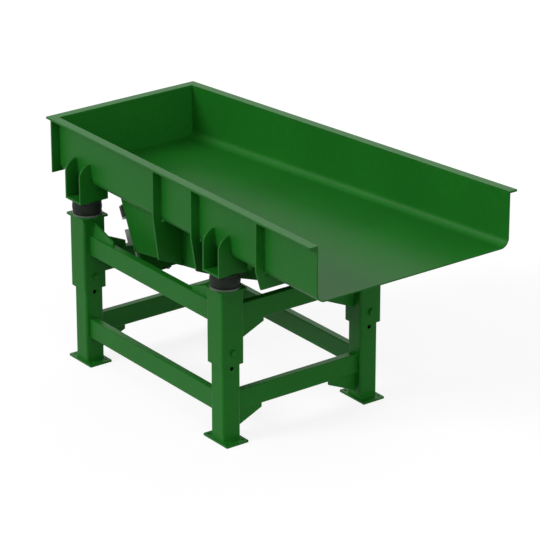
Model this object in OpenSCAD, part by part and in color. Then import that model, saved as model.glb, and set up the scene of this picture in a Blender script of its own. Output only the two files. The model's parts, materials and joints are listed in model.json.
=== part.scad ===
// Linear vibratory feeder: open trough on four rubber springs, driven by two unbalanced motors,
// standing on a frame with height-setting legs. Millimetres, +Z up, +X is the flow direction,
// origin on the floor midway between the four legs.

/* [Frame] */
// Distance between the leg axes along the trough
leg_pitch_x = 1140; // [1000:10:1400]
// Distance between the leg axes across the trough
leg_pitch_y = 810; // [780:10:860]
// Outside width of the square upper leg tube
upper_tube_w = 125; // [115:5:140]
// Wall thickness of the upper leg tube
upper_tube_t = 10; // [8:1:12]
// Outside width of the square lower leg tube
lower_tube_w = 100; // [80:5:100]
// Wall thickness of the lower leg tube
lower_tube_t = 6; // [4:1:8]
// Height of the leg cap above the floor
leg_h = 775; // [740:5:860]
// Length of the upper leg tube
upper_tube_len = 370; // [360:5:380]
// Distance of the lowest setting hole below the upper tube
first_hole_drop = 19; // [16:1:60]
// Spacing of the setting holes up the leg
hole_pitch = 85; // [70:1:90]
// Number of setting holes in each lower tube
hole_count = 4; // [3:1:4]
// Height of a rail or beam
rail_h = 100; // [80:5:110]
// Width of a rail or beam
rail_w = 40; // [30:5:60]
// Wall thickness of a rail or beam
rail_t = 4; // [3:1:5]
// Height of the lower rails and beams above the floor
lower_rail_z = 137; // [110:1:160]
// Distance of the upper rails below the top of the leg caps
upper_rail_drop = 95; // [90:5:110]
// How far the discharge end upper beam sits below the upper rails
out_beam_drop = 5; // [0:1:20]
// How far the feed end upper beam sits below the upper rails
feed_beam_drop = 125; // [105:5:130]
// Distance of the rails outside the leg axes
rail_out = 10; // [0:1:15]

/* [Feet] */
// Length of a foot plate along the trough
foot_len = 190; // [180:5:220]
// Width of a foot plate across the trough
foot_w = 125; // [120:5:150]
// Thickness of a foot plate
foot_t = 10; // [8:1:16]
// Spacing of the anchor holes along the trough
anchor_pitch_x = 144; // [140:1:160]
// Spacing of the anchor holes across the trough
anchor_pitch_y = 84; // [70:1:90]
// Diameter of an anchor hole
anchor_hole_d = 14; // [12:1:18]

/* [Trough] */
// Inside length of the trough
trough_len = 2063; // [2000:1:2100]
// Inside width at the feed end
trough_w_feed = 790; // [780:5:840]
// Inside width at the discharge end
trough_w_out = 1100; // [900:10:1150]
// Height of the trough floor above the leg caps
floor_rise = 165; // [160:5:190]
// Height of the flange top above the trough floor
trough_depth = 270; // [250:5:300]
// Thickness of the trough sheet
sheet_t = 6; // [4:1:8]
// Inside bend radius between floor and walls
bend_r = 40; // [25:5:50]
// Width of the top flange, measured from the inside of the wall
flange_w = 46; // [40:1:60]
// Thickness of the top flange
flange_t = 10; // [8:1:12]
// Thickness of the feed end plate
end_plate_t = 8; // [6:1:12]
// Thickness of the wall ribs and cross plates
rib_t = 10; // [8:1:12]
// Position of the drive rib along the trough
rib_a_x = 77; // [60:1:100]
// Position of the middle rib along the trough
rib_b_x = 383; // [350:1:420]
// Position of the front rib along the trough
rib_c_x = 885; // [800:1:920]

/* [Springs] */
// Diameter of the rubber springs at mid height
rubber_d = 146; // [130:2:150]
// Free height of the rubber between its steel discs
rubber_h = 61; // [52:1:70]
// Thickness of the steel discs bonded to the rubber
disc_t = 8; // [6:1:10]
// Thickness of a bracket seat plate
seat_t = 10; // [8:1:14]

/* [Drive] */
// Angle of the stroke above the horizontal
drive_angle = 25; // [20:1:30]
// Outside diameter of a motor end cover
cover_d = 174; // [160:2:180]
// Length of a motor end cover
cover_len = 56; // [54:1:60]
// Length of a motor housing
housing_len = 240; // [236:2:250]
// Distance between the two motor shafts
motor_pitch = 305; // [290:5:340]
// Height of a motor shaft above its mounting plate
shaft_h = 112; // [105:1:120]

/* [Hidden] */
$fn = 96;

over = 1;                                   // how far a cutting body runs past the body it cuts
leg_x = leg_pitch_x / 2;
leg_y = leg_pitch_y / 2;
tube_r = 12;                                // outside corner radius of the leg tubes
rail_r = 5;                                 // outside corner radius of the rails
cap_w = upper_tube_w + 21;
cap_t = 10;
upper_tube_z = leg_h - cap_t - upper_tube_len;
upper_rail_z = leg_h - upper_rail_drop - rail_h;
first_hole_z = upper_tube_z - first_hole_drop;
hole_margin = 35;                           // tube left above the topmost hole
lower_tube_top = first_hole_z + (hole_count - 1) * hole_pitch + hole_margin;
bolt_z = first_hole_z + hole_pitch;         // the setting bolt sits in the second hole
leg_bolt_d = 20;
leg_hole_d = leg_bolt_d + 0.4;              // 0.2 mm round the bolt
leg_head_af = 30;
leg_head_t = 13;
leg_nut_t = 16;
foot_r = 3;
feed_beam_z = upper_rail_z - feed_beam_drop;
out_beam_z = upper_rail_z - out_beam_drop;
rail_y = leg_y + rail_out;
gusset_t = 10;
gusset_h = 76;
gusset_tip = 22;
beam_gusset_len = 155;
beam_gusset_h = 95;
beam_gusset_tip = 27;
rail_gusset_len = 180;

floor_z = leg_h + floor_rise;
wall_inset = 12;                            // near wall outside the leg axes
near_in = leg_y + wall_inset;               // inside of the near wall from the centre line
feed_overhang = 210;                        // trough beyond the feed end legs
x_feed = -leg_x - feed_overhang;            // inside face of the feed end plate
x_out = x_feed + trough_len;
flare = atan((trough_w_out - trough_w_feed) / trough_len);
wall_top = floor_z + trough_depth - flange_t;
floor_under = floor_z - sheet_t;
far_feed_in = trough_w_feed - near_in;      // inside of the far wall at the feed end
flange_out = flange_w - sheet_t;            // flange reach past the outside of the wall

seat_z = leg_h + 2 * disc_t + rubber_h;     // underside of a bracket seat
seat_len = 130;
seat_w = 160;
seat_in = 80;                               // seat reach inward of the spring axis
bracket_rise = 108;                         // bracket top above the trough floor
bracket_top = floor_z + bracket_rise;
bracket_t = 10;
bracket_arc = 62;
stud_d = 16;
stud_hole_d = stud_d + 0.4;                 // 0.2 mm round the stud
stud_len = 34;
nut_af = 24;
nut_t = 13;
disc_d = rubber_d + 2;
rubber_bulge = 6;                           // how far the rubber swells at mid height

web_y = 300;                                // outside of the webs from the centre line
web_t = 10;
web_edge = 338;                             // length of the web edge along the motor plate
web_mid_depth = 199;                        // depth of the web at the middle rib
web_tip_depth = 64;                         // depth of the web at the front rib
web_mid_z = floor_under - web_mid_depth;
web_tip_z = floor_under - web_tip_depth;
web_offset = 318;                           // feed end of the webs from the end plate
web_x0 = x_feed + web_offset;
web_x1 = web_x0 + web_edge * sin(drive_angle);
web_z1 = floor_under - web_edge * cos(drive_angle);
rib_foot_up = 62;                           // height of the first rib foot above the web edge
foot_slope = (web_tip_z - web_z1 - rib_foot_up) / (rib_c_x - web_x1);
rib_foot_in = 28;                           // how far the outer edge of a rib leans in at its foot
rib_shoulder = 26;

motor_plate_t = 20;
motor_plate_len = 450;
motor_top = 107;                             // gap along the plate between floor and motor
motor_len = housing_len + 2 * cover_len;
housing_d = 126;
housing_flange_t = 12;
fin_count = 24;
fin_w = 4;
fin_h = 6;
housing_bore = 108;
stator_bore = 80;
end_wall_t = 28;
shaft_d = 40;
core_d = stator_bore - 2;                   // air gap of 1 mm
core_len = 110;
bearing_d = 90;
bearing_w = 23;
bearing_play = 0.05;
cover_t = 4;
weight_r = 74;
weight_t = 34;
weight_gap = 12;
foot_pad_w = 190;
foot_pad_len = 60;
foot_pad_t = 22;
foot_pad_pitch = 160;
motor_bolt_d = 16;
motor_hole_d = motor_bolt_d + 0.4;          // 0.2 mm round the bolt
motor_bolt_pitch = 160;
motor_head_t = 10;
motor_nut_t = 13;
box_len = 80;
box_w = 74;
box_h = 45;
box_up = 16;                                // how far the terminal box sits above mid length
saddle_play = 0.3;                          // terminal box clear of the fins it sits over
saddle_r = norm([housing_d / 2 + fin_h, fin_w / 2]) + saddle_play;

green = [0.10, 0.38, 0.12];
rubber_black = [0.06, 0.06, 0.06];
steel = [0.62, 0.62, 0.60];
motor_grey = [0.70, 0.71, 0.70];
dark_grey = [0.25, 0.26, 0.26];

function far_in(x) = far_feed_in + (x - x_feed) * tan(flare);
function foot_z(x) = web_z1 + rib_foot_up + (x - web_x1) * foot_slope;
function web_z(x) = lookup(x, [[web_x1, web_z1], [rib_b_x, web_mid_z], [rib_c_x, web_tip_z]]);

module at_legs() {
  for (sx = [-1, 1], sy = [-1, 1]) translate([sx * leg_x, sy * leg_y, 0]) children();
}

// rectangle with rounded corners, centred
module round_rect(w, h, r) {
  square([w - 2 * r, h], center = true);
  square([w, h - 2 * r], center = true);
  for (sx = [-1, 1], sy = [-1, 1]) translate([sx * (w / 2 - r), sy * (h / 2 - r)]) circle(r);
}

module tube_section(w, h, t, r) {
  difference() {
    round_rect(w, h, r);
    round_rect(w - 2 * t, h - 2 * t, max(r - t, 1));
  }
}

// bodies drawn in a YZ section and run along X from the given position
module along_x(x, len) {
  translate([x, 0, 0]) rotate([90, 0, 90]) linear_extrude(len) children();
}

// bodies drawn in an XZ section, centred on the given y
module across_y(y, len) {
  translate([0, y + len / 2, 0]) rotate([90, 0, 0]) linear_extrude(len) children();
}

module hex(af, h) {
  cylinder(d = af / cos(30), h = h, $fn = 6);
}

// ---------- feet and legs ----------

module foot_plates() {
  color(green) at_legs() difference() {
    linear_extrude(foot_t) round_rect(foot_len, foot_w, foot_r);
    for (sx = [-1, 1], sy = [-1, 1])
      translate([sx * anchor_pitch_x / 2, sy * anchor_pitch_y / 2, -over])
        cylinder(d = anchor_hole_d, h = foot_t + 2 * over);
  }
}

module lower_leg(sx, sy) {
  color(green) translate([sx * leg_x, sy * leg_y, 0]) difference() {
    translate([0, 0, foot_t]) linear_extrude(lower_tube_top - foot_t)
      tube_section(lower_tube_w, lower_tube_w, lower_tube_t, tube_r);
    for (i = [0 : hole_count - 1])
      translate([-lower_tube_w / 2 - over, 0, first_hole_z + i * hole_pitch])
        rotate([0, 90, 0]) cylinder(d = leg_hole_d, h = lower_tube_w + 2 * over);
  }
}

module upper_leg(sx, sy) {
  color(green) translate([sx * leg_x, sy * leg_y, 0]) difference() {
    translate([0, 0, upper_tube_z]) linear_extrude(upper_tube_len)
      tube_section(upper_tube_w, upper_tube_w, upper_tube_t, tube_r);
    translate([-upper_tube_w / 2 - over, 0, bolt_z])
      rotate([0, 90, 0]) cylinder(d = leg_hole_d, h = upper_tube_w + 2 * over);
  }
}

module lower_leg_feed_near() { lower_leg(-1, -1); }
module lower_leg_feed_far() { lower_leg(-1, 1); }
module lower_leg_out_near() { lower_leg(1, -1); }
module lower_leg_out_far() { lower_leg(1, 1); }
module upper_leg_feed_near() { upper_leg(-1, -1); }
module upper_leg_feed_far() { upper_leg(-1, 1); }
module upper_leg_out_near() { upper_leg(1, -1); }
module upper_leg_out_far() { upper_leg(1, 1); }

module leg_caps() {
  color(green) at_legs() translate([0, 0, leg_h - cap_t]) difference() {
    linear_extrude(cap_t) round_rect(cap_w, cap_w, foot_r);
    translate([0, 0, -over]) cylinder(d = stud_hole_d, h = cap_t + 2 * over);
  }
}

// head on the +X side of each leg, washer under it
module leg_bolts() {
  color(green) at_legs() translate([upper_tube_w / 2, 0, bolt_z]) rotate([0, 90, 0]) {
    hex(leg_head_af, leg_head_t);
    translate([0, 0, -upper_tube_w - leg_nut_t - 5])
      cylinder(d = leg_bolt_d, h = upper_tube_w + leg_nut_t + 5 + over);
  }
}

module leg_nuts() {
  color(green) at_legs() translate([-upper_tube_w / 2 - leg_nut_t, 0, bolt_z]) rotate([0, 90, 0])
    difference() {
      hex(leg_head_af, leg_nut_t);
      translate([0, 0, -over]) cylinder(d = leg_bolt_d, h = leg_nut_t + 2 * over);
    }
}

// ---------- rails, beams and gussets ----------

module rail(sy, z, tube_w) {
  x0 = -leg_x + tube_w / 2;
  color(green) translate([0, sy * rail_y, z + rail_h / 2])
    along_x(x0, -2 * x0) tube_section(rail_w, rail_h, rail_t, rail_r);
}

module beam(sx, z, tube_w) {
  len = 2 * leg_y - tube_w;
  color(green) translate([sx * leg_x, 0, z + rail_h / 2])
    across_y(0, len) tube_section(rail_w, rail_h, rail_t, rail_r);
}

module lower_rail_near() { rail(-1, lower_rail_z, lower_tube_w); }
module lower_rail_far() { rail(1, lower_rail_z, lower_tube_w); }
module upper_rail_near() { rail(-1, upper_rail_z, upper_tube_w); }
module upper_rail_far() { rail(1, upper_rail_z, upper_tube_w); }
module lower_beam_feed() { beam(-1, lower_rail_z, lower_tube_w); }
module lower_beam_out() { beam(1, lower_rail_z, lower_tube_w); }
module upper_beam_feed() { beam(-1, feed_beam_z, upper_tube_w); }
module upper_beam_out() { beam(1, out_beam_z, upper_tube_w); }

// corner plate: leg side at the origin, running out to +x, standing up from y = 0
module gusset_shape(len, h, tip) {
  polygon([[0, 0], [len, 0], [len, tip], [0, h]]);
}

module rail_gussets() {
  color(green) for (sx = [-1, 1], sy = [-1, 1])
    translate([sx * (leg_x - upper_tube_w / 2), 0, upper_rail_z + rail_h])
      across_y(sy * rail_y, gusset_t) scale([-sx, 1]) gusset_shape(rail_gusset_len, gusset_h, gusset_tip);
}

module beam_gusset(sx, sy, z, up, tube_w) {
  translate([sx * leg_x - gusset_t / 2, sy * (leg_y - tube_w / 2), z])
    along_x(0, gusset_t) scale([-sy, up]) gusset_shape(beam_gusset_len, beam_gusset_h, beam_gusset_tip);
}

module beam_gussets() {
  color(green) for (sy = [-1, 1]) {
    beam_gusset(-1, sy, feed_beam_z + rail_h, 1, upper_tube_w);
    beam_gusset(1, sy, out_beam_z, -1, upper_tube_w);
    beam_gusset(-1, sy, lower_rail_z, -1, lower_tube_w);
    beam_gusset(1, sy, lower_rail_z, -1, lower_tube_w);
  }
}

// ---------- springs ----------

// barrel-shaped rubber blocks between their steel discs
module rubber_springs() {
  arc_r = (rubber_h * rubber_h / 4 + rubber_bulge * rubber_bulge) / (2 * rubber_bulge);
  color(rubber_black) at_legs() translate([0, 0, leg_h + disc_t + rubber_h / 2])
    rotate_extrude() intersection() {
      translate([rubber_d / 2 - arc_r, 0]) circle(arc_r);
      translate([0, -rubber_h / 2]) square([rubber_d, rubber_h]);
    }
}

module disc_and_stud(down) {
  cylinder(d = disc_d, h = disc_t);
  translate([0, 0, down ? -stud_len : disc_t - over]) cylinder(d = stud_d, h = stud_len + over);
}

module lower_discs() {
  color(steel) at_legs() translate([0, 0, leg_h]) disc_and_stud(true);
}

module upper_discs() {
  color(steel) at_legs() translate([0, 0, leg_h + disc_t + rubber_h]) disc_and_stud(false);
}

module stud_nut() {
  difference() {
    hex(nut_af, nut_t);
    translate([0, 0, -over]) cylinder(d = stud_d, h = nut_t + 2 * over);
  }
}

module lower_stud_nuts() {
  color(steel) at_legs() translate([0, 0, leg_h - cap_t - nut_t]) stud_nut();
}

module upper_stud_nuts() {
  color(steel) at_legs() translate([0, 0, seat_z + seat_t]) stud_nut();
}

// ---------- trough ----------

// near side of the trough block, grown outward by o and lengthened by e at each end
module near_block(o, e) {
  r = bend_r + o;
  top = wall_top - floor_z + o + e;
  along_x(x_feed - e, trough_len + 2 * e)
    translate([-near_in - o, floor_z - o]) {
      translate([r, 0]) square([2 * trough_w_out, top]);
      translate([0, r]) square([2 * trough_w_out, top - r]);
      translate([r, r]) circle(r);
    }
}

// far side of the trough block, turned by the flare
module far_block(o, e) {
  r = bend_r + o;
  top = wall_top - floor_z + o + e;
  far_len = trough_len / cos(flare) + 2 * trough_w_out;
  translate([x_feed, far_feed_in, 0]) rotate([0, 0, flare])
    along_x(-trough_w_out, far_len)
      translate([o, floor_z - o]) {
        translate([-2 * trough_w_out - r, 0]) square([2 * trough_w_out, top]);
        translate([-2 * trough_w_out, r]) square([2 * trough_w_out, top - r]);
        translate([-r, r]) circle(r);
      }
}

module trough_block(o, e) {
  intersection() {
    near_block(o, e);
    far_block(o, e);
  }
}

module pan() {
  color(green) difference() {
    trough_block(sheet_t, 0);
    trough_block(0, over);
  }
}

module end_plate() {
  far_edge = far_in(x_feed) + flange_w;
  color(green) translate([x_feed - end_plate_t, -near_in - flange_w, floor_under])
    cube([end_plate_t, near_in + flange_w + far_edge, wall_top - floor_under]);
}

module flange_near() {
  x0 = x_feed - flange_w;
  color(green) translate([x0, -near_in - flange_w, wall_top])
    cube([x_out - x0, flange_w, flange_t]);
}

module flange_far() {
  x0 = x_feed - flange_w;
  color(green) translate([0, 0, wall_top]) linear_extrude(flange_t)
    polygon([[x0, far_in(x0)], [x_out, far_in(x_out)],
             [x_out, far_in(x_out) + flange_w / cos(flare)], [x0, far_in(x0) + flange_w / cos(flare)]]);
}

module flange_feed() {
  x0 = x_feed - flange_w;
  color(green) translate([0, 0, wall_top]) linear_extrude(flange_t)
    polygon([[x0, -near_in], [x_feed, -near_in], [x_feed, far_in(x_feed)], [x0, far_in(x0)]]);
}

// ribs up the outside of a wall, running in under the floor to the web
module rib(x, side) {
  wall = (side < 0 ? near_in : far_in(x)) + sheet_t;
  edge = wall + flange_out;
  foot = foot_z(x);
  color(green) difference() {
    along_x(x - rib_t / 2, rib_t) scale([side, 1])
      polygon([[web_y, floor_under], [web_y, web_z(x)], [edge - rib_foot_in, foot],
               [edge, floor_z + rib_shoulder], [edge, wall_top], [wall - sheet_t, wall_top],
               [wall - sheet_t, floor_under]]);
    trough_block(sheet_t, over);
  }
}

module rib_a_near() { rib(rib_a_x, -1); }
module rib_b_near() { rib(rib_b_x, -1); }
module rib_c_near() { rib(rib_c_x, -1); }
module rib_a_far() { rib(rib_a_x, 1); }
module rib_b_far() { rib(rib_b_x, 1); }
module rib_c_far() { rib(rib_c_x, 1); }

module cross_plates() {
  inner = web_y - web_t;
  color(green) for (x = [rib_a_x, rib_b_x, rib_c_x])
    translate([x - rib_t / 2, -inner, web_z(x)]) cube([rib_t, 2 * inner, floor_under - web_z(x)]);
}

// long tapered web under the floor, its slanted edge carries the motor plate
module web(side) {
  x_end = rib_c_x + rib_t / 2;
  color(green) across_y(side * (web_y - web_t / 2), web_t)
    polygon([[web_x0, floor_under], [web_x1, web_z1], [rib_b_x, web_mid_z], [rib_c_x, web_tip_z],
             [x_end, web_tip_z], [x_end, floor_under]]);
}

module web_near() { web(-1); }
module web_far() { web(1); }

// brackets: seat plate and two upright plates, round at the outer top corner
module bracket(sx, sy) {
  y_out = leg_y + seat_in;
  y_in = y_out - seat_w;
  z0 = seat_z + seat_t;
  wide = leg_y + 2 * seat_w;
  color(green) difference() {
    union() {
      translate([sx * leg_x - seat_len / 2, sy > 0 ? y_in : -y_out, seat_z])
        cube([seat_len, seat_w, seat_t]);
      for (sg = [-1, 1])
        along_x(sx * leg_x + sg * (seat_len - bracket_t) / 2 - bracket_t / 2, bracket_t)
          scale([sy, 1]) if (sx > 0 && sy > 0) {
            polygon([[y_in, z0], [y_out, z0], [y_out, z0 + seat_t],
                     [far_in(leg_x) - bend_r, floor_z], [y_in, floor_z]]);
          } else {
            translate([y_in, z0]) square([seat_w, bracket_top - z0 - bracket_arc]);
            translate([y_in, z0]) square([seat_w - bracket_arc, bracket_top - z0]);
            translate([y_out - bracket_arc, bracket_top - bracket_arc]) circle(bracket_arc);
          }
    }
    trough_block(sheet_t, over);
    translate([sx * leg_x, sy * leg_y, seat_z - over]) cylinder(d = stud_hole_d, h = seat_t + 2 * over);
  }
}

module bracket_feed_near() { bracket(-1, -1); }
module bracket_feed_far() { bracket(-1, 1); }
module bracket_out_near() { bracket(1, -1); }
module bracket_out_far() { bracket(1, 1); }

// ---------- drive ----------

// local frame: x along the stroke, z up the motor plate, origin where the plate meets the floor
module drive_frame() {
  translate([web_x0, 0, floor_under]) rotate([0, -drive_angle, 0]) children();
}

module at_motors() {
  for (sy = [-1, 1]) translate([0, sy * motor_pitch / 2, 0]) children();
}

module at_feet() {
  for (sz = [-1, 1], sf = [-1, 1])
    translate([0, sf * motor_bolt_pitch / 2, -motor_top - motor_len / 2 + sz * foot_pad_pitch / 2])
      rotate([0, 90, 0]) children();
}

module motor_plate() {
  inner = web_y - web_t;
  color(green) difference() {
    drive_frame() difference() {
      translate([0, -inner, -motor_plate_len]) cube([motor_plate_t, 2 * inner, motor_plate_len + 2 * motor_plate_t]);
      at_motors() at_feet() translate([0, 0, -over]) cylinder(d = motor_hole_d, h = motor_plate_t + 2 * over);
    }
    translate([web_x0 - motor_plate_len, -web_y, floor_under])
      cube([2 * motor_plate_len, 2 * web_y, motor_plate_len]);
  }
}

// ring of length h about the shaft line, its upper end at z
module shaft_ring(z, d, bore, h) {
  translate([-shaft_h, 0, z - h]) difference() {
    cylinder(d = d, h = h);
    translate([0, 0, -over]) cylinder(d = bore, h = h + 2 * over);
  }
}

module motor(sy) {
  z_top = -motor_top - cover_len;
  z_mid = -motor_top - motor_len / 2;
  stack = housing_len - 2 * end_wall_t;
  color(motor_grey) drive_frame() translate([0, sy * motor_pitch / 2, 0]) difference() {
    union() {
      translate([-shaft_h, 0, z_top - housing_len]) cylinder(d = housing_d, h = housing_len);
      for (i = [0 : 1])
        translate([-shaft_h, 0, z_top - housing_len + i * (housing_len - housing_flange_t)])
          cylinder(d = cover_d, h = housing_flange_t);
      for (i = [0 : fin_count - 1])
        translate([-shaft_h, 0, z_top - housing_len + over]) rotate([0, 0, i * 360 / fin_count])
          translate([housing_d / 2 - over, -fin_w / 2, 0]) cube([fin_h + over, fin_w, housing_len - 2 * over]);
      for (sz = [-1, 1])
        translate([-foot_pad_t, -foot_pad_w / 2, z_mid + sz * foot_pad_pitch / 2 - foot_pad_len / 2])
          cube([foot_pad_t, foot_pad_w, foot_pad_len]);
      for (sz = [-1, 1], sf = [-1, 1])
        translate([-shaft_h, sf * housing_d / 3 - foot_pad_t / 2, z_mid + sz * foot_pad_pitch / 2 - foot_pad_len / 2])
          cube([shaft_h - over, foot_pad_t, foot_pad_len]);
    }
    translate([-shaft_h, 0, z_top - end_wall_t - stack]) cylinder(d = housing_bore, h = stack);
    for (i = [0 : 1])
      translate([-shaft_h, 0, z_top - housing_len + i * (housing_len - bearing_w)
                 - (i == 0 ? over : 0)]) cylinder(d = bearing_d, h = bearing_w + over);
    translate([-shaft_h, 0, z_top - housing_len - over]) cylinder(d = shaft_d + 6, h = housing_len + 2 * over);
    at_feet() translate([0, 0, -foot_pad_t - over]) cylinder(d = motor_hole_d, h = foot_pad_t + 2 * over);
  }
}

module motor_near() { motor(-1); }
module motor_far() { motor(1); }

module motor_covers() {
  z_top = -motor_top;
  color(dark_grey) drive_frame() at_motors() for (i = [0 : 1]) {
    z0 = i == 0 ? z_top - cover_len : z_top - motor_len;
    translate([-shaft_h, 0, z0]) difference() {
      cylinder(d = cover_d, h = cover_len);
      translate([0, 0, i == 0 ? -over : cover_t])
        cylinder(d = cover_d - 2 * cover_t, h = cover_len - cover_t + over);
    }
  }
}

module motor_bearings() {
  z_top = -motor_top - cover_len;
  color(steel) drive_frame() at_motors() for (i = [0 : 1])
    shaft_ring(z_top - i * (housing_len - bearing_w), bearing_d, shaft_d + 2 * bearing_play, bearing_w);
}

module terminal_boxes() {
  z_mid = -motor_top - motor_len / 2;
  color(motor_grey) drive_frame() at_motors()
    translate([-shaft_h - housing_d / 2 - box_h, -box_w / 2, z_mid + box_up - box_len / 2])
      difference() {
        cube([box_h + fin_h, box_w, box_len]);
        translate([box_h + housing_d / 2, box_w / 2, -over])
          cylinder(r = saddle_r, h = box_len + 2 * over);
      }
}

module stators() {
  z_mid = -motor_top - motor_len / 2;
  color(dark_grey) drive_frame() at_motors() shaft_ring(z_mid + core_len / 2, housing_bore, stator_bore, core_len);
}

// heads on the plate side away from the motor
module motor_bolts() {
  color(steel) drive_frame() at_motors() at_feet() {
    translate([0, 0, motor_plate_t]) hex(nut_af, motor_head_t);
    translate([0, 0, -foot_pad_t - motor_nut_t - 4])
      cylinder(d = motor_bolt_d, h = foot_pad_t + motor_nut_t + 4 + motor_plate_t + over);
  }
}

module motor_nuts() {
  color(steel) drive_frame() at_motors() at_feet() translate([0, 0, -foot_pad_t - motor_nut_t])
    difference() {
      hex(nut_af, motor_nut_t);
      translate([0, 0, -over]) cylinder(d = motor_bolt_d, h = motor_nut_t + 2 * over);
    }
}

module shaft(sy) {
  reach = motor_len - 2 * (cover_t + weight_gap / 2);
  z_mid = -motor_top - motor_len / 2;
  color(steel) drive_frame() translate([-shaft_h, sy * motor_pitch / 2, z_mid]) {
    translate([0, 0, -reach / 2]) cylinder(d = shaft_d, h = reach);
    translate([0, 0, -core_len / 2]) cylinder(d = core_d, h = core_len);
  }
}

module shaft_near() { shaft(-1); }
module shaft_far() { shaft(1); }

// half discs at both ends of a shaft, hanging away from the motor plate
module weights(sy) {
  z_mid = -motor_top - motor_len / 2;
  color(dark_grey) drive_frame() translate([-shaft_h, sy * motor_pitch / 2, z_mid])
    for (sz = [-1, 1]) translate([0, 0, sz * (housing_len / 2 + weight_gap + weight_t / 2) - weight_t / 2])
      difference() {
        cylinder(r = weight_r, h = weight_t);
        translate([shaft_d / 2 + weight_gap, -weight_r - over, -over])
          cube([2 * weight_r, 2 * (weight_r + over), weight_t + 2 * over]);
        translate([0, 0, -over]) cylinder(d = shaft_d, h = weight_t + 2 * over);
      }
}

module weights_near() { weights(-1); }
module weights_far() { weights(1); }

// ---------- assembly ----------

foot_plates();
lower_leg_feed_near();
lower_leg_feed_far();
lower_leg_out_near();
lower_leg_out_far();
upper_leg_feed_near();
upper_leg_feed_far();
upper_leg_out_near();
upper_leg_out_far();
leg_caps();
lower_rail_near();
lower_rail_far();
lower_beam_feed();
lower_beam_out();
upper_rail_near();
upper_rail_far();
upper_beam_feed();
upper_beam_out();
rail_gussets();
beam_gussets();
leg_bolts();
leg_nuts();
rubber_springs();
lower_discs();
upper_discs();
lower_stud_nuts();
upper_stud_nuts();
pan();
end_plate();
flange_near();
flange_far();
flange_feed();
rib_a_near();
rib_b_near();
rib_c_near();
rib_a_far();
rib_b_far();
rib_c_far();
cross_plates();
web_near();
web_far();
motor_plate();
bracket_feed_near();
bracket_feed_far();
bracket_out_near();
bracket_out_far();
motor_near();
motor_far();
motor_covers();
stators();
motor_bearings();
terminal_boxes();
motor_bolts();
motor_nuts();
shaft_near();
shaft_far();
weights_near();
weights_far();
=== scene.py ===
import json
import math

import bpy
from mathutils import Matrix, Vector
from mathutils.bvhtree import BVHTree


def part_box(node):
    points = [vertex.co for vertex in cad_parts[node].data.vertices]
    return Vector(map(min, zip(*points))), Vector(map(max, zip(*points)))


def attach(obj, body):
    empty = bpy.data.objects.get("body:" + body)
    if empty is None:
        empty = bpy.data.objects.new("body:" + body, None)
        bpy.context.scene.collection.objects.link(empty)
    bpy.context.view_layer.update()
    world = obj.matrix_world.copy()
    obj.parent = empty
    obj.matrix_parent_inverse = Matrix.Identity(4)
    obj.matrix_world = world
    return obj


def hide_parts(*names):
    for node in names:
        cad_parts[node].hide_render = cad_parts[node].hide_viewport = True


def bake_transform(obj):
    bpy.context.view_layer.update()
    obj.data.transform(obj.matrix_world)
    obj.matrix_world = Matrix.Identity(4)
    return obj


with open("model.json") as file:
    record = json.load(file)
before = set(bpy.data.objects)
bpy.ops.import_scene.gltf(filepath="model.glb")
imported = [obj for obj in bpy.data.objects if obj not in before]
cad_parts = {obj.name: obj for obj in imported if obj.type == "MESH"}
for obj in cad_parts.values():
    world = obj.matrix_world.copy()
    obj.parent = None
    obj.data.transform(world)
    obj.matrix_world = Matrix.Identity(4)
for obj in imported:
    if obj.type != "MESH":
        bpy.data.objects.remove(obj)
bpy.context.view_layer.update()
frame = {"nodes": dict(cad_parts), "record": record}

bl_info = {
    "name": "Linear vibratory feeder dressing",
    "version": (1, 0, 0),
    "blender": (4, 5, 0),
    "location": "3D View > Sidebar > Feeder",
    "description": "Paint, rubber, welds, threads and small screws for the feeder's CAD frame",
    "category": "Object",
}

MM = 0.001
# Decimals to which corners of one solid agree, in metres.
CORNER_DECIMALS = 6

ENDS = ("feed", "out")
SIDES = ("near", "far")
LEGS = [(end, side) for end in ENDS for side in SIDES]
RIBS = [(letter, side) for letter in "abc" for side in SIDES]
FLOW = Vector((1.0, 0.0, 0.0))
ACROSS = Vector((0.0, 1.0, 0.0))
UP = Vector((0.0, 0.0, 1.0))


# ---------- places read from the CAD nodes ----------


def span(node):
    """Lowest and highest corner of a CAD node as two plain tuples."""
    low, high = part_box(node)
    return tuple(low), tuple(high)


def leg_axis(end, side):
    """X and Y of a leg's centre line."""
    low, high = span(f"upper_leg_{end}_{side}")
    return (low[0] + high[0]) / 2, (low[1] + high[1]) / 2


def solids(node):
    """The separate solids of a CAD node, each as a list of its corners."""
    mesh = frame["nodes"][node].data
    owner = {}

    def root(key):
        while owner[key] != key:
            owner[key] = owner[owner[key]]
            key = owner[key]
        return key

    for face in mesh.polygons:
        keys = [tuple(round(c, CORNER_DECIMALS) for c in mesh.vertices[i].co) for i in face.vertices]
        for key in keys:
            owner.setdefault(key, key)
            owner[root(key)] = root(keys[0])
    groups = {}
    for key in owner:
        groups.setdefault(root(key), []).append(Vector(key))
    return list(groups.values())


def reach(corners, axis):
    """Lowest and highest place of some corners along an axis."""
    places = [corner.dot(axis) for corner in corners]
    return min(places), max(places)


def centre(corners, axes):
    """Middle of some corners, measured along three square axes."""
    return sum((axis * sum(reach(corners, axis)) / 2 for axis in axes), Vector())


def drive_axes():
    """Along the motor shafts, out of the motor plate, and across the trough."""
    spin = next(j for j in frame["record"]["behaviour"]["joints"] if j["name"] == "motor_spin_near")
    along = Vector(spin["axis"]).normalized()
    return along, along.cross(ACROSS), ACROSS


# ---------- shader maths ----------


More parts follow.
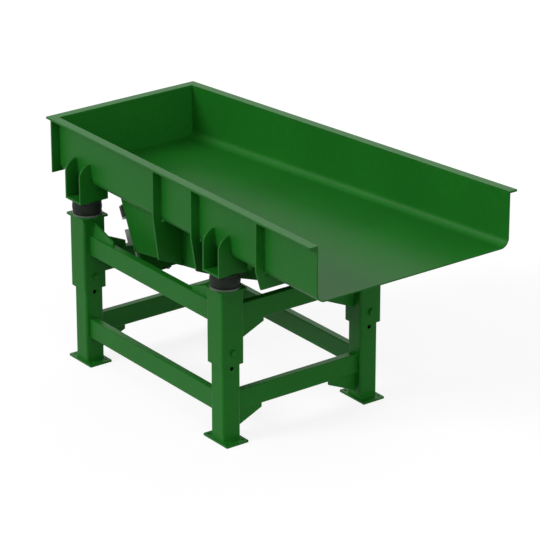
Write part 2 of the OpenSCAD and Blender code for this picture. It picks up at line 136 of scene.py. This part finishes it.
class Wire:
    """A shader socket on which plain operators add Math nodes."""

    def __init__(self, net, socket):
        self.net = net
        self.socket = socket

    def maths(self, operation, first, second):
        return self.net.node("ShaderNodeMath", {"operation": operation}, {0: first, 1: second})

    def __add__(self, other):
        return self.maths("ADD", self, other)

    __radd__ = __add__

    def __mul__(self, other):
        return self.maths("MULTIPLY", self, other)

    __rmul__ = __mul__

    def __sub__(self, other):
        return self.maths("SUBTRACT", self, other)

    def __rsub__(self, other):
        return self.maths("SUBTRACT", other, self)

    def step(self, low, high):
        """0 below low, 1 above high, smooth between."""
        return self.net.node(
            "ShaderNodeMapRange", {"interpolation_type": "SMOOTHSTEP"},
            {"Value": self, "From Min": low, "From Max": high})


class Net:
    """A node tree that grows by one method."""

    def __init__(self, tree):
        self.tree = tree

    def node(self, kind, settings=None, sockets=None, output=0):
        made = self.tree.nodes.new(kind)
        for name, value in (settings or {}).items():
            setattr(made, name, value)
        for name, value in (sockets or {}).items():
            self.plug(made.inputs[name], value)
        return Wire(self, made.outputs[output])

    def plug(self, socket, value):
        if isinstance(value, Wire):
            self.tree.links.new(value.socket, socket)
        else:
            socket.default_value = value


# ---------- finishes ----------

# A name that ends in SCALE is a noise pattern's, in waves a metre. STEP is where a mask starts and
# ends, SHADES are the darkest and lightest share of the colour, and SPREAD is how far the roughness
# varies.
CLOUD_SCALE = 2.2
CLOUD_SHARE = 0.6
SPRAY_SCALE = 38.0
TONE_STEP = (0.3, 0.75)
PAINT_SHADES = (0.9, 1.1)
PAINT_SPREAD = 0.1
PAINT_EDGE = 2.6 * MM
PAINT_SHEEN = 0.13
ORANGE_PEEL_SCALE = 420.0
ORANGE_PEEL_DEPTH = 0.04 * MM
DUST_CLOUD_SCALE = 6.0
DUST_GRAIN_SCALE = 90.0
DUST_STEP = (0.42, 0.6)
DUST_SHARE = 0.03
DUST_GREY = (0.2, 0.2, 0.19, 1.0)

WELD_SCALE = 160.0
WELD_DEPTH = 0.5 * MM

BLOOM_SCALE = 24.0
BLOOM_STEP = (0.5, 0.85)
BLOOM_SHARE = 0.25
RUBBER_SHADES = (1.0, 1.9)
RUBBER_SPOT_SCALE = 60.0
RUBBER_ROUGH = 0.55
RUBBER_SPREAD = 0.2
RUBBER_SHEEN = 0.18
RUBBER_SKIN_SCALE = 900.0
RUBBER_SKIN_DEPTH = 0.06 * MM
RUBBER_EDGE = 1.0 * MM

STREAK_STRETCH = (1.0, 1.0, 0.2)
METAL_SHADES = (0.8, 1.0)
METAL_SPREAD = 0.2
METAL_SHARE = 0.85
METAL_GRAIN_FINER = 6.0
METAL_GRAIN_DEPTH = 0.03 * MM
METAL_EDGE = 0.8 * MM
IRON_GREY = (0.2, 0.2, 0.2)

EDGE_SAMPLES = 4


class Paint(Net):
    """One node material on Object coordinates."""

    def __init__(self, name):
        self.material = bpy.data.materials.new(name)
        self.material.use_nodes = True
        super().__init__(self.material.node_tree)
        self.shader = self.tree.nodes["Principled BSDF"]
        self.place = self.node("ShaderNodeTexCoord", output="Object")

    def noise(self, scale, detail, stretch=(1.0, 1.0, 1.0)):
        placed = self.node("ShaderNodeMapping", None, {"Vector": self.place, "Scale": stretch})
        return self.node("ShaderNodeTexNoise", None, {"Vector": placed, "Scale": scale, "Detail": detail})

    def mix(self, amount, first, second):
        return self.node("ShaderNodeMix", {"data_type": "RGBA"},
                         {"Factor": amount, "A": first, "B": second}, "Result")

    def surface(self, **sockets):
        """Values and wires for the shader's own sockets, with _ for each space."""
        for name, value in sockets.items():
            self.plug(self.shader.inputs[name.replace("_", " ")], value)

    def relief(self, height, depth, edge):
        """Bump from a wire, over edges rounded by the given radius."""
        soft = self.node("ShaderNodeBevel", {"samples": EDGE_SAMPLES}, {"Radius": edge})
        bump = self.node("ShaderNodeBump", None, {"Height": height, "Distance": depth, "Normal": soft})
        self.surface(Normal=bump)


def shade(colour, factor):
    """A colour made lighter or darker, as four numbers."""
    return (*(min(1.0, value * factor) for value in colour[:3]), 1.0)


def shades(colour, factors):
    """The darkest and the lightest shade of a colour."""
    return [shade(colour, factor) for factor in factors]


def metal_paint(name, colour, rough, sheen=PAINT_SHEEN, scale=ORANGE_PEEL_SCALE, depth=ORANGE_PEEL_DEPTH):
    """Sprayed paint: slight unevenness of tone and gloss over fine orange peel."""
    paint = Paint(name)
    broad = paint.noise(CLOUD_SCALE, detail=2.0)
    fine = paint.noise(SPRAY_SCALE, detail=4.0)
    tone = (broad * CLOUD_SHARE + fine * (1.0 - CLOUD_SHARE)).step(*TONE_STEP)
    grains = paint.noise(DUST_CLOUD_SCALE, detail=5.0) * paint.noise(DUST_GRAIN_SCALE, detail=2.0)
    dust = grains.step(*DUST_STEP) * DUST_SHARE
    coat = paint.mix(tone, *shades(colour, PAINT_SHADES))
    paint.surface(
        Base_Color=paint.mix(dust, coat, DUST_GREY),
        Roughness=fine * PAINT_SPREAD + (rough - PAINT_SPREAD / 2),
        Specular_IOR_Level=sheen)
    paint.relief(paint.noise(scale, detail=1.0), depth, PAINT_EDGE)
    return paint.material


def rubber(name, colour):
    """Moulded black rubber with a faint dry bloom."""
    paint = Paint(name)
    bloom = paint.noise(BLOOM_SCALE, detail=4.0).step(*BLOOM_STEP) * BLOOM_SHARE
    paint.surface(
        Base_Color=paint.mix(bloom, *shades(colour, RUBBER_SHADES)),
        Roughness=paint.noise(RUBBER_SPOT_SCALE, detail=3.0) * RUBBER_SPREAD + RUBBER_ROUGH,
        Specular_IOR_Level=RUBBER_SHEEN)
    paint.relief(paint.noise(RUBBER_SKIN_SCALE, detail=2.0), RUBBER_SKIN_DEPTH, RUBBER_EDGE)
    return paint.material


def bare_metal(name, colour, rough, scale):
    """Machined or plated metal with drawn streaks."""
    paint = Paint(name)
    streak = paint.noise(scale, detail=3.0, stretch=STREAK_STRETCH)
    paint.surface(
        Base_Color=paint.mix(streak, *shades(colour, METAL_SHADES)),
        Roughness=streak * METAL_SPREAD + rough,
        Metallic=METAL_SHARE)
    paint.relief(paint.noise(scale * METAL_GRAIN_FINER, detail=2.0), METAL_GRAIN_DEPTH, METAL_EDGE)
    return paint.material


# ---------- modelling ----------

# Angles in degrees: the least of an edge that is bevelled, and the most of an edge that is smooth.
END_EDGE = 70.0
SMOOTH = 35.0
BEAD_SMOOTH = 60.0
BEVEL_STEPS = 2
BEAD_STEPS = 1


def start():
    """Object mode with nothing selected, as each new primitive expects."""
    if bpy.context.object and bpy.context.object.mode != "OBJECT":
        bpy.ops.object.mode_set(mode="OBJECT")
    bpy.ops.object.select_all(action="DESELECT")


def pick(things):
    """These objects and no others selected, the first of them active."""
    start()
    for thing in things:
        thing.select_set(True)
    bpy.context.view_layer.objects.active = things[0]


def turned(axis):
    """Rotation that carries +Z to an axis."""
    return Vector(axis).to_track_quat("Z", "Y").to_euler()


def rod(foot, axis, radius, height, sides, bevel=0.0):
    """A round or many-sided bar that stands on foot, with its end edges bevelled."""
    way = Vector(axis).normalized()
    start()
    bpy.ops.mesh.primitive_cylinder_add(
        vertices=sides, radius=radius, depth=height,
        location=Vector(foot) + way * height / 2, rotation=turned(way))
    made = bpy.context.object
    if bevel:
        modifier = made.modifiers.new("edge", "BEVEL")
        modifier.width = bevel
        modifier.segments = BEVEL_STEPS
        modifier.limit_method = "ANGLE"
        modifier.angle_limit = math.radians(END_EDGE)
        bpy.ops.object.modifier_apply(modifier=modifier.name)
    return made


def slab(middle, axes, size, bevel):
    """A plate turned to three square axes, with bevelled edges."""
    start()
    bpy.ops.mesh.primitive_cube_add(
        size=1.0, location=middle, rotation=Matrix(axes).transposed().to_euler(), scale=size)
    bpy.ops.object.transform_apply(location=False, rotation=False, scale=True)
    made = bpy.context.object
    modifier = made.modifiers.new("edge", "BEVEL")
    modifier.width = bevel
    modifier.segments = BEVEL_STEPS
    bpy.ops.object.modifier_apply(modifier=modifier.name)
    return made


def ring(middle, axis, major, minor, sides, across):
    """A round ridge about an axis."""
    start()
    bpy.ops.mesh.primitive_torus_add(
        major_radius=major, minor_radius=minor, major_segments=sides, minor_segments=across,
        location=middle, rotation=turned(axis))
    return bpy.context.object


def copies(model, places):
    """A copy at each place of a model that stands at the origin. The model itself goes."""
    made = []
    for place in places:
        pick([model])
        bpy.ops.object.duplicate()
        bpy.ops.transform.translate(value=place)
        made.append(bpy.context.object)
    bpy.data.meshes.remove(model.data)
    return made


def join(parts, name, material, body=None, smooth=SMOOTH):
    """One finished piece at the origin from its parts, named, shaded and riding on its body."""
    pick(parts)
    if len(parts) > 1:
        bpy.ops.object.join()
    bpy.ops.object.transform_apply(location=True, rotation=True, scale=True)
    piece = bpy.context.object
    bpy.ops.object.mode_set(mode="EDIT")
    bpy.ops.mesh.select_all(action="SELECT")
    bpy.ops.mesh.normals_make_consistent(inside=False)
    bpy.ops.object.mode_set(mode="OBJECT")
    bpy.ops.object.shade_smooth_by_angle(angle=math.radians(smooth))
    piece.name = piece.data.name = name
    piece.data.materials.clear()
    piece.data.materials.append(material)
    if body:
        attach(piece, body)
    return piece


TOUCH = 0.2 * MM
MERGE = 0.01 * MM
SHARP = 30.0
THINNEST_WALL = 3.8 * MM
SHORTEST_BEAD = 18.0 * MM


def surface_of(node):
    """A search tree over the faces of a CAD node."""
    mesh = frame["nodes"][node].data
    corners = [vertex.co.copy() for vertex in mesh.vertices]
    return BVHTree.FromPolygons(corners, [face.vertices[:] for face in mesh.polygons])


def seam(node, carriers, tube=False):
    """The sharp edges of a CAD node that lie on its carriers, as an object of loose edges.

    Of a tube only the edges on its outside count.
    """
    start()
    bpy.ops.mesh.primitive_plane_add()
    lines = bpy.context.object
    plane = lines.data
    lines.data = frame["nodes"][node].data.copy()
    bpy.data.meshes.remove(plane)
    bpy.ops.object.mode_set(mode="EDIT")
    bpy.ops.mesh.select_mode(type="EDGE")
    bpy.ops.mesh.select_all(action="SELECT")
    bpy.ops.mesh.remove_doubles(threshold=MERGE)
    bpy.ops.mesh.select_all(action="DESELECT")
    bpy.ops.mesh.edges_select_sharp(sharpness=math.radians(SHARP))
    bpy.ops.object.mode_set(mode="OBJECT")
    trees = [surface_of(carrier) for carrier in carriers]
    low, high = span(node)
    thin_ways = sorted(range(3), key=lambda i: high[i] - low[i])[:2]

    def counts(point):
        depth = min(min(point[i] - low[i], high[i] - point[i]) for i in thin_ways)
        if tube and depth > THINNEST_WALL:
            return False
        return any(tree.find_nearest(point, TOUCH)[0] is not None for tree in trees)

    for edge in lines.data.edges:
        a, b = (lines.data.vertices[i].co for i in edge.vertices)
        edge.select = edge.select and all(counts(point) for point in (a, (a + b) / 2, b))
    bpy.ops.object.mode_set(mode="EDIT")
    bpy.ops.mesh.select_all(action="INVERT")
    bpy.ops.mesh.delete(type="EDGE")
    bpy.ops.mesh.select_all(action="SELECT")
    bpy.ops.mesh.delete(type="ONLY_FACE")
    bpy.ops.object.mode_set(mode="OBJECT")
    return lines


def weld(seams, name, body, radius):
    """Weld beads along the seams, as one piece on a body."""
    lines = [line for line in seams if line.data.edges]
    for bare in [line for line in seams if line not in lines]:
        bpy.data.meshes.remove(bare.data)
    pick(lines)
    bpy.ops.object.join()
    bpy.ops.object.convert(target="CURVE")
    run = bpy.context.object
    run.data.bevel_depth = radius
    run.data.bevel_resolution = BEAD_STEPS
    run.data.use_fill_caps = True
    for line in run.data.splines[:]:
        places = [point.co.xyz for point in line.points]
        if sum((b - a).length for a, b in zip(places, places[1:])) < SHORTEST_BEAD:
            run.data.splines.remove(line)
    bpy.ops.object.convert(target="MESH")
    join([bpy.context.object], name, materials()["weld"], body, BEAD_SMOOTH)


# ---------- settings ----------


class FeederColours(bpy.types.PropertyGroup):
    """Colours of the feeder's finishes"""

    green: bpy.props.FloatVectorProperty(
        name="Frame paint", description="Colour of the frame, the trough and the leg bolts",
        default=(0.011, 0.155, 0.013), subtype="COLOR", min=0.0, max=1.0)
    pale: bpy.props.FloatVectorProperty(
        name="Motor paint", description="Colour of the motor housings and the terminal boxes",
        default=(0.80, 0.84, 0.81), subtype="COLOR", min=0.0, max=1.0)
    # The upper spring discs also take this dark colour, as painted shade for the shadow of the spring
    # seats above them.
    dark: bpy.props.FloatVectorProperty(
        name="Cover paint", description="Colour of the motor end covers and the upper spring discs",
        default=(0.022, 0.024, 0.024), subtype="COLOR", min=0.0, max=1.0)
    black: bpy.props.FloatVectorProperty(
        name="Rubber", description="Colour of the rubber springs",
        default=(0.011, 0.016, 0.011), subtype="COLOR", min=0.0, max=1.0)
    steel: bpy.props.FloatVectorProperty(
        name="Steel", description="Colour of the nuts, motor bolts, shafts and screw heads",
        default=(0.24, 0.25, 0.24), subtype="COLOR", min=0.0, max=1.0)
    disc: bpy.props.FloatVectorProperty(
        name="Disc steel", description="Colour of the steel discs under the rubber springs",
        default=(0.105, 0.125, 0.105), subtype="COLOR", min=0.0, max=1.0)
    roughness: bpy.props.FloatProperty(
        name="Paint roughness", description="Roughness of the green paint",
        default=0.42, min=0.05, max=0.9, subtype="FACTOR")


class FeederSizes(bpy.types.PropertyGroup):
    """Sizes of the beads, ridges and screws"""

    frame_bead: bpy.props.FloatProperty(
        name="Frame bead", description="Radius of the weld beads on the leg frame",
        default=3.5 * MM, min=1.0 * MM, max=6.0 * MM, unit="LENGTH")
    trough_bead: bpy.props.FloatProperty(
        name="Trough bead", description="Radius of the weld beads on the trough",
        default=2.5 * MM, min=1.0 * MM, max=5.0 * MM, unit="LENGTH")
    thread_pitch: bpy.props.FloatProperty(
        name="Thread pitch", description="Distance between the ridges of the threads",
        default=2.0 * MM, min=1.0 * MM, max=3.0 * MM, unit="LENGTH")
    mould_ring: bpy.props.FloatProperty(
        name="Mould ring", description="Radius of the parting ridge around each rubber spring",
        default=0.8 * MM, min=0.2 * MM, max=2.0 * MM, unit="LENGTH")
    screw_head: bpy.props.FloatProperty(
        name="Cover screw", description="Radius of the heads of the motor cover screws",
        default=7.0 * MM, min=4.0 * MM, max=9.0 * MM, unit="LENGTH")


def colours():
    """The scene's colour settings."""
    return bpy.context.scene.feeder_colours


def sizes():
    """The scene's size settings."""
    return bpy.context.scene.feeder_sizes


LOOKS = {}


def materials():
    """The finishes by name, made once."""
    if not LOOKS:
        c = colours()
        LOOKS.update(
            green_paint=metal_paint("green_paint_look", c.green, c.roughness),
            weld=metal_paint("weld_look", c.green, c.roughness, scale=WELD_SCALE, depth=WELD_DEPTH),
            grey_paint=metal_paint("grey_paint_look", c.pale, rough=0.35, sheen=0.5),
            # The same dark paint lies on the upper spring discs as painted shade, standing for the seats'
            # shadow.
            dark_paint=metal_paint("dark_paint_and_shade_look", c.dark, rough=0.5),
            rubber=rubber("rubber_look", c.black),
            steel=bare_metal("steel_look", c.steel, rough=0.35, scale=60.0),
            disc=metal_paint("disc_look", c.disc, rough=0.4, sheen=0.4),
            iron=bare_metal("iron_look", IRON_GREY, rough=0.5, scale=40.0))
    return LOOKS


# ---------- pieces ----------


# The lower discs keep their disc steel. The upper discs take the dark paint as painted shade, standing
# for the shadow of the spring seats above them.
OWN_LOOK_AND_SHADE = {"lower_discs": "disc", "upper_discs": "dark_paint"}


class FEEDER_OT_cad(bpy.types.Operator):
    """Gives every CAD node the finish of its material slot, the lower spring discs their own, and the
    upper spring discs dark paint as painted shade
    """

    bl_idname = "feeder.cad"
    bl_label = "Finish the CAD nodes"

    def execute(self, context):
        for row in frame["record"]["subparts"]:
            mesh = frame["nodes"][row["node"]].data
            mesh.materials.clear()
            look = OWN_LOOK_AND_SHADE.get(row["node"], row["material_slot"])
            mesh.materials.append(materials()[look])
        return {"FINISHED"}


RUBBER_SIDES = 96
RUBBER_RINGS = 8
RUBBER_SWELL = 6.0 * MM
RUBBER_LIP = 2.0 * MM
LIP_SIDES = 8
PARTING_SIDES = 6


class FEEDER_OT_springs(bpy.types.Operator):
    """Rubber springs with their moulded lips and parting ridge, stretching between frame and trough"""

    bl_idname = "feeder.springs"
    bl_label = "Rubber springs"

    def execute(self, context):
        low, high = span("rubber_springs")
        radius = high[0] - leg_axis("out", "near")[0]
        places = [Vector((*leg_axis(end, side), low[2])) for end, side in LEGS]
        springs = copies(self.model(UP * (high[2] - low[2]), radius), places)
        for (end, side), spring in zip(LEGS, springs):
            piece = join([spring], f"rubber_{end}_{side}", materials()["rubber"])
            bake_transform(piece)
            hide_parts("rubber_springs")
        return {"FINISHED"}

    def model(self, top, radius):
        """Barrel, parting ridge and both lips of a spring that stands on the origin."""
        ridge = sizes().mould_ring
        neck = radius - RUBBER_SWELL - RUBBER_LIP / 2
        parts = [self.barrel(top, radius),
                 ring(top / 2, UP, radius - ridge, ridge, RUBBER_SIDES, PARTING_SIDES)]
        for level in (UP * RUBBER_LIP, top - UP * RUBBER_LIP):
            parts.append(ring(level, UP, neck, RUBBER_LIP, RUBBER_SIDES, LIP_SIDES))
        pick(parts)
        bpy.ops.object.join()
        return bpy.context.object

    def barrel(self, top, radius):
        """A cylinder cut into rings, each ring drawn in towards the ends."""
        middle = top / 2
        body = rod(Vector(), UP, radius, top.length, RUBBER_SIDES)
        steps = [i / RUBBER_RINGS for i in range(1 - RUBBER_RINGS, RUBBER_RINGS)]
        bpy.ops.object.mode_set(mode="EDIT")
        for step in steps:
            bpy.ops.mesh.select_all(action="SELECT")
            bpy.ops.mesh.bisect(plane_co=middle + middle * step, plane_no=UP)
        for step in (-1.0, *steps, 1.0):
            bpy.ops.mesh.select_all(action="DESELECT")
            bpy.ops.object.mode_set(mode="OBJECT")
            for vertex in body.data.vertices:
                vertex.select = abs(vertex.co.z - middle.z * step) < TOUCH
            bpy.ops.object.mode_set(mode="EDIT")
            size = 1.0 - RUBBER_SWELL * step ** 2 / radius
            bpy.ops.transform.resize(value=(size, size, 1.0), center_override=middle)
        bpy.ops.object.mode_set(mode="OBJECT")
        return body


class FEEDER_OT_frame_welds(bpy.types.Operator):
    """Weld beads of the leg frame"""

    bl_idname = "feeder.frame_welds"
    bl_label = "Frame welds"

    def execute(self, context):
        seams = []
        steel = []
        for level, plate in (("lower", "foot_plates"), ("upper", "leg_caps")):
            legs = [f"{level}_leg_{end}_{side}" for end, side in LEGS]
            bars = [f"{level}_rail_{side}" for side in SIDES] + [f"{level}_beam_{end}" for end in ENDS]
            seams += [seam(leg, [plate], tube=True) for leg in legs]
            seams += [seam(bar, legs, tube=True) for bar in bars]
            steel += legs + bars
        seams += [seam("rail_gussets", steel), seam("beam_gussets", steel)]
        weld(seams, "welds_frame", "frame", sizes().frame_bead)
        return {"FINISHED"}


class FEEDER_OT_trough_welds(bpy.types.Operator):
    """Weld beads of the trough, its ribs, webs and brackets"""

    bl_idname = "feeder.trough_welds"
    bl_label = "Trough welds"

    def execute(self, context):
        webs = [f"web_{side}" for side in SIDES]
        seams = [seam("end_plate", ["pan"]), seam("flange_feed", ["end_plate"])]
        seams += [seam(f"flange_{side}", ["pan"]) for side in SIDES]
        seams += [seam(f"rib_{letter}_{side}", ["pan", f"web_{side}"]) for letter, side in RIBS]
        seams += [seam(web, ["pan"]) for web in webs]
        seams += [seam(f"bracket_{end}_{side}", ["pan"]) for end, side in LEGS]
        seams += [seam("cross_plates", ["pan", *webs]), seam("motor_plate", ["pan", *webs])]
        weld(seams, "welds_trough", "trough", sizes().trough_bead)
        return {"FINISHED"}


STUD_RADIUS = 8.0 * MM
LEG_BOLT_RADIUS = 10.0 * MM
STUD_SIDES = 24
RIDGE_SIDES = 6
# Radius of a ridge as a share of the pitch.
RIDGE_SHARE = 0.45


class FEEDER_OT_threads(bpy.types.Operator):
    """Thread ridges where studs and bolts stand out of their nuts"""

    bl_idname = "feeder.threads"
    bl_label = "Threads"

    def execute(self, context):
        drive = drive_axes()[1]
        jobs = (("frame_studs", "frame", "steel", "lower_discs", "lower_stud_nuts", UP, STUD_RADIUS),
                ("leg_bolts", "frame", "green_paint", "leg_bolts", "leg_nuts", FLOW, LEG_BOLT_RADIUS),
                ("trough_studs", "trough", "steel", "upper_discs", "upper_stud_nuts", UP, STUD_RADIUS),
                ("motor_bolts", "trough", "steel", "motor_bolts", "motor_nuts", drive, STUD_RADIUS))
        ridge = sizes().thread_pitch * RIDGE_SHARE
        for name, body, slot, bolts, nuts, axis, radius in jobs:
            model = ring(Vector(), axis, radius, ridge, STUD_SIDES, RIDGE_SIDES)
            ridges = copies(model, self.places(solids(bolts), solids(nuts), axis))
            join(ridges, f"threads_{name}", materials()[slot], body)
        return {"FINISHED"}

    def places(self, bolts, nuts, axis):
        """Middles of the ridges on each bolt, from the outer face of its nut to the bolt's end."""
        pitch = sizes().thread_pitch
        side = axis.orthogonal().normalized()
        axes = (axis, side, axis.cross(side))
        found = []
        for nut in nuts:
            foot = centre(nut, axes[1:])
            bolt = min(bolts, key=lambda b: (centre(b, axes[1:]) - foot).length
                       + abs((centre(b, axes) - centre(nut, axes)).dot(axis)))
            low, high = reach(nut, axis)
            first, last = reach(bolt, axis)
            a, b = (high, last) if last - high < low - first else (first, low)
            found += [foot + axis * (a + (i + 0.5) * pitch) for i in range(int((b - a) / pitch))]
        return found


COVER_SCREWS = 4
HEX = 6
SCREW_INSET = 14.0 * MM
SCREW_HEIGHT = 5.0 * MM
SCREW_BEVEL = 0.6 * MM
LID_THICKNESS = 3.0 * MM
LID_EDGE = 2.0 * MM
LID_BEVEL = 0.8 * MM
LID_SCREW_RADIUS = 3.5 * MM
LID_SCREW_HEIGHT = 2.45 * MM
LID_SCREW_INSET = 8.0 * MM
LID_SCREW_SIDES = 16


class FEEDER_OT_motor_screws(bpy.types.Operator):
    """Screw heads of the motor end covers"""

    bl_idname = "feeder.motor_screws"
    bl_label = "Motor cover screws"

    def execute(self, context):
        axes = along, out, across = drive_axes()
        heads = []
        motors = [centre(solids(f"motor_{side}")[0], axes) for side in SIDES]
        for cover in solids("motor_covers"):
            middle = centre(cover, axes)
            motor = min(motors, key=lambda place: (place - middle).length)
            way = along if (middle - motor).dot(along) > 0 else -along
            face = middle + way * (reach(cover, way)[1] - middle.dot(way))
            low, high = reach(cover, across)
            radius = (high - low) / 2 - SCREW_INSET
            angles = [math.tau * (i + 0.5) / COVER_SCREWS for i in range(COVER_SCREWS)]
            model = rod(Vector(), way, sizes().screw_head, SCREW_HEIGHT, HEX, SCREW_BEVEL)
            heads += copies(model, [face + (out * math.cos(angle) + across * math.sin(angle)) * radius
                                    for angle in angles])
        join(heads, "cover_screws", materials()["steel"], "trough")
        return {"FINISHED"}


class FEEDER_OT_box_lids(bpy.types.Operator):
    """Lids and lid screws of the terminal boxes"""

    bl_idname = "feeder.box_lids"
    bl_label = "Terminal box lids"

    def execute(self, context):
        axes = along, out, across = drive_axes()
        boxes = solids("terminal_boxes")
        long, wide = (reach(boxes[0], axis)[1] - reach(boxes[0], axis)[0] for axis in (along, across))
        faces = []
        for box in boxes:
            middle = centre(box, axes)
            faces.append(middle - out * (middle.dot(out) - reach(box, out)[0]))
        corners = [along * i * (long / 2 - LID_SCREW_INSET) + across * j * (wide / 2 - LID_SCREW_INSET)
                   for i in (-1, 1) for j in (-1, 1)]
        size = (long + LID_EDGE, LID_THICKNESS, wide + LID_EDGE)
        lid = slab(-out * LID_THICKNESS / 2, axes, size, LID_BEVEL)
        lids = copies(lid, faces)
        screw = rod(-out * LID_THICKNESS, -out, LID_SCREW_RADIUS, LID_SCREW_HEIGHT,
                    LID_SCREW_SIDES, LID_BEVEL)
        heads = copies(screw, [face + corner for face in faces for corner in corners])
        join(lids, "terminal_box_lids", materials()["grey_paint"], "trough")
        join(heads, "lid_screws", materials()["steel"], "trough")
        return {"FINISHED"}


# ---------- stage ----------

# Angles in radians, distances in metres, lens and sensor in millimetres.
TARGET = Vector((0.372, 0.0, 0.688))
VIEW_AZIMUTH = 0.9300672
VIEW_HEIGHT = 0.3949001
VIEW_DISTANCE = 14.875
LENS = 210.2
SENSOR = 36.0
SKY = 0.43
GROUND = 0.20
HORIZON = (-0.5, 0.6)
FLOOR_SIZE = 80.0
FLOOR_DROP = 0.5 * MM
FLOOR_DULL = (0.2, 0.2, 0.2, 1.0)
FLOOR_PALE = (0.9, 0.9, 0.9, 1.0)
FLOOR_WHITE = 0.75
FLOOR_GLOW = 1.12
WHITE = (1.0, 1.0, 1.0, 1.0)
LAMP_DISTANCE = 6.0
# Each lamp's name, the way to it, its strength and its spread.
LAMPS = (
    ("key_lamp", (-0.25, -0.84, 0.55), 1.55, 0.35),
    ("fill_lamp", (0.95, -0.2, 0.25), 0.85, 0.9),
    ("back_lamp", (-0.6, 0.9, 0.35), 0.40, 0.9),
)


def white_rays(net):
    """1 for rays that see the plain white surroundings: from the camera, mirrors and glass."""
    rays = [net.node("ShaderNodeLightPath", output=f"Is {kind} Ray")
            for kind in ("Camera", "Glossy", "Transmission")]
    return rays[0] + rays[1] + rays[2]


class FEEDER_OT_stage(bpy.types.Operator):
    """Camera, lamps, floor and the white surroundings"""

    bl_idname = "feeder.stage"
    bl_label = "Stage"

    def execute(self, context):
        scene = context.scene
        scene.view_settings.view_transform = "Standard"
        back = Vector((math.sin(VIEW_AZIMUTH) * math.cos(VIEW_HEIGHT),
                       -math.cos(VIEW_AZIMUTH) * math.cos(VIEW_HEIGHT), math.sin(VIEW_HEIGHT)))
        start()
        bpy.ops.object.camera_add(location=TARGET + back * VIEW_DISTANCE, rotation=turned(back))
        scene.camera = context.object
        scene.camera.name = "camera"
        scene.camera.data.lens = LENS
        scene.camera.data.sensor_width = SENSOR
        scene.camera.data.clip_end = 2 * FLOOR_SIZE
        for name, direction, strength, spread in LAMPS:
            start()
            way = Vector(direction).normalized()
            bpy.ops.object.light_add(type="SUN", location=way * LAMP_DISTANCE, rotation=turned(way))
            lamp = context.object
            lamp.name = name
            lamp.data.energy = strength
            lamp.data.angle = spread
        self.floor()
        self.surroundings(scene)
        return {"FINISHED"}

    def floor(self):
        """White floor that keeps a faint shadow, and is clear from below."""
        start()
        bpy.ops.mesh.primitive_plane_add(size=FLOOR_SIZE, location=-UP * FLOOR_DROP)
        floor = bpy.context.object
        floor.name = "floor"
        material = bpy.data.materials.new("floor_look")
        material.use_nodes = True
        net = Net(material.node_tree)
        net.tree.nodes.remove(net.tree.nodes["Principled BSDF"])
        dull = net.node("ShaderNodeBsdfDiffuse", None, {"Color": FLOOR_DULL})
        pale = net.node("ShaderNodeBsdfDiffuse", None, {"Color": FLOOR_PALE})
        glow = net.node("ShaderNodeEmission", None, {"Strength": FLOOR_GLOW})
        seen = net.node("ShaderNodeMixShader", None, {0: FLOOR_WHITE, 1: pale, 2: glow})
        top = net.node("ShaderNodeMixShader", None, {0: white_rays(net), 1: dull, 2: seen})
        under = net.node("ShaderNodeNewGeometry", output="Backfacing")
        clear = net.node("ShaderNodeBsdfTransparent")
        both = net.node("ShaderNodeMixShader", None, {0: under, 1: top, 2: clear})
        net.plug(net.tree.nodes["Material Output"].inputs["Surface"], both)
        floor.data.materials.append(material)

    def surroundings(self, scene):
        """Soft light from above and plain white behind the feeder."""
        world = bpy.data.worlds.new("surroundings")
        world.use_nodes = True
        scene.world = world
        net = Net(world.node_tree)
        net.tree.nodes.remove(net.tree.nodes["Background"])
        place = net.node("ShaderNodeTexCoord", output="Generated")
        height = net.node("ShaderNodeSeparateXYZ", None, {0: place}, "Z").step(*HORIZON)
        strength = height * (SKY - GROUND) + GROUND
        soft = net.node("ShaderNodeBackground", None, {"Color": WHITE, "Strength": strength})
        plain_white = net.node("ShaderNodeBackground", None, {"Color": WHITE, "Strength": 1.0})
        both = net.node("ShaderNodeMixShader", None, {0: white_rays(net), 1: soft, 2: plain_white})
        net.plug(net.tree.nodes["World Output"].inputs["Surface"], both)


STEPS = (FEEDER_OT_cad, FEEDER_OT_springs, FEEDER_OT_frame_welds, FEEDER_OT_trough_welds,
         FEEDER_OT_threads, FEEDER_OT_motor_screws, FEEDER_OT_box_lids, FEEDER_OT_stage)


class FEEDER_PT_panel(bpy.types.Panel):
    """Settings and steps of the feeder"""

    bl_label = "Feeder"
    bl_idname = "FEEDER_PT_panel"
    bl_space_type = "VIEW_3D"
    bl_region_type = "UI"
    bl_category = "Feeder"

    def draw(self, context):
        layout = self.layout
        for group in (context.scene.feeder_colours, context.scene.feeder_sizes):
            for name in group.bl_rna.properties.keys():
                if name not in ("rna_type", "name"):
                    layout.prop(group, name)
        for step in STEPS:
            layout.operator(step.bl_idname)


CLASSES = (FeederColours, FeederSizes, *STEPS, FEEDER_PT_panel)


def register():
    for cls in CLASSES:
        bpy.utils.register_class(cls)
    bpy.types.Scene.feeder_colours = bpy.props.PointerProperty(type=FeederColours)
    bpy.types.Scene.feeder_sizes = bpy.props.PointerProperty(type=FeederSizes)


def unregister():
    del bpy.types.Scene.feeder_sizes
    del bpy.types.Scene.feeder_colours
    for cls in reversed(CLASSES):
        bpy.utils.unregister_class(cls)


def main():
    register()
    for step in STEPS:
        group, name = step.bl_idname.split(".")
        getattr(getattr(bpy.ops, group), name)()


if __name__ == "__main__":
    main()
